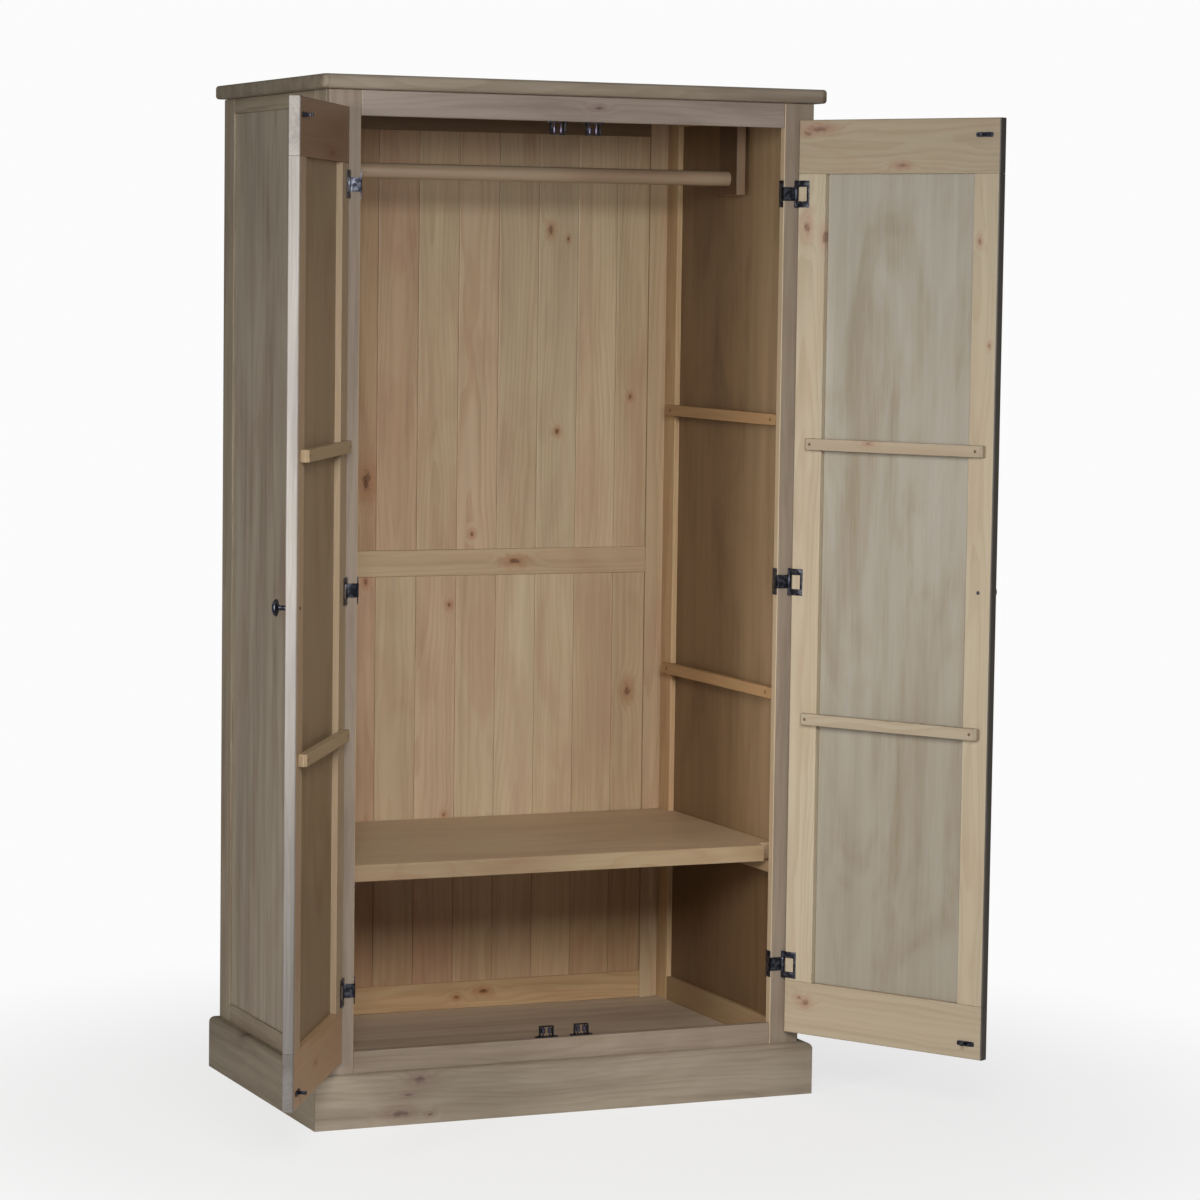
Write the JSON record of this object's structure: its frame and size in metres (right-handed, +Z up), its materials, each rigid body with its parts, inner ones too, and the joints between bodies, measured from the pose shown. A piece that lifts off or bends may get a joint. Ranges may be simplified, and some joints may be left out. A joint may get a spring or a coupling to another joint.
{
  "type": "wardrobe with doors",
  "caption": "Freestanding pine wardrobe with framed doors that swing open, a hanging rail, a low shelf, framed sides and a tongue-and-groove back.",
  "frame": {"origin": "on the floor, at the middle of the underside of the front plinth board", "axes": "+Z up, +X to the right of someone facing the doors, +Y from the doors to the back"},
  "size_m": [1.3952, 0.9921, 1.9],
  "materials": {
    "limed_pine": "pine with a grey-brown limed wash, matt",
    "plain_pine": "waxed pine, satin",
    "grey_ply": "thin plywood with a pale grey-beige wash, matt",
    "brown_ply": "thin plywood, brown, matt",
    "dark_iron": "blackened steel, slightly glossy"
  },
  "bodies": {
    "carcass": {"top_board": "limed_pine", "plinth_front": "limed_pine", "plinth_left": "limed_pine", "plinth_right": "limed_pine", "face_stile_left": "limed_pine", "face_stile_right": "limed_pine", "face_rail_top": "limed_pine", "face_rail_bottom": "limed_pine", "side_frame_left": "limed_pine", "side_frame_right": "limed_pine", "side_panel_left": "brown_ply", "side_panel_right": "brown_ply", "side_batten_upper_left": "plain_pine", "side_batten_upper_right": "plain_pine", "side_batten_lower_left": "plain_pine", "side_batten_lower_right": "plain_pine", "back_frame": "plain_pine", "back_boards_upper": "plain_pine", "back_boards_lower": "plain_pine", "floor_board": "limed_pine", "shelf": "plain_pine", "hanging_rail": "plain_pine", "rail_bracket_left": "plain_pine", "rail_bracket_right": "plain_pine", "catch_top_left": "dark_iron", "catch_top_right": "dark_iron", "catch_bottom_left": "dark_iron", "catch_bottom_right": "dark_iron", "hinge_frame_leaf_1_left": "dark_iron", "hinge_frame_leaf_2_left": "dark_iron", "hinge_frame_leaf_3_left": "dark_iron", "hinge_frame_leaf_1_right": "dark_iron", "hinge_frame_leaf_2_right": "dark_iron", "hinge_frame_leaf_3_right": "dark_iron"},
    "left_door": {"door_hinge_stile_left": "limed_pine", "door_free_stile_left": "limed_pine", "door_top_rail_left": "limed_pine", "door_bottom_rail_left": "limed_pine", "door_panel_left": "grey_ply", "door_batten_upper_left": "plain_pine", "door_batten_lower_left": "plain_pine", "strike_top_left": "dark_iron", "strike_bottom_left": "dark_iron", "door_knob_left": "dark_iron", "hinge_door_leaf_1_left": "dark_iron", "hinge_door_leaf_2_left": "dark_iron", "hinge_door_leaf_3_left": "dark_iron"},
    "right_door": {"door_hinge_stile_right": "limed_pine", "door_free_stile_right": "limed_pine", "door_top_rail_right": "limed_pine", "door_bottom_rail_right": "limed_pine", "door_panel_right": "grey_ply", "door_batten_upper_right": "plain_pine", "door_batten_lower_right": "plain_pine", "strike_top_right": "dark_iron", "strike_bottom_right": "dark_iron", "door_knob_right": "dark_iron", "hinge_door_leaf_1_right": "dark_iron", "hinge_door_leaf_2_right": "dark_iron", "hinge_door_leaf_3_right": "dark_iron"}
  },
  "joints": [
    {"name": "left_door_hinge", "type": "hinge", "parent": "carcass", "child": "left_door", "pos_m": [-0.44261, 0.0067, 0.979], "axis": [0, 0, -1], "range_deg": [-120.5, 0]},
    {"name": "right_door_hinge", "type": "hinge", "parent": "carcass", "child": "right_door", "pos_m": [0.44261, 0.0067, 0.979], "axis": [0, 0, 1], "range_deg": [-120.5, 0]}
  ]
}
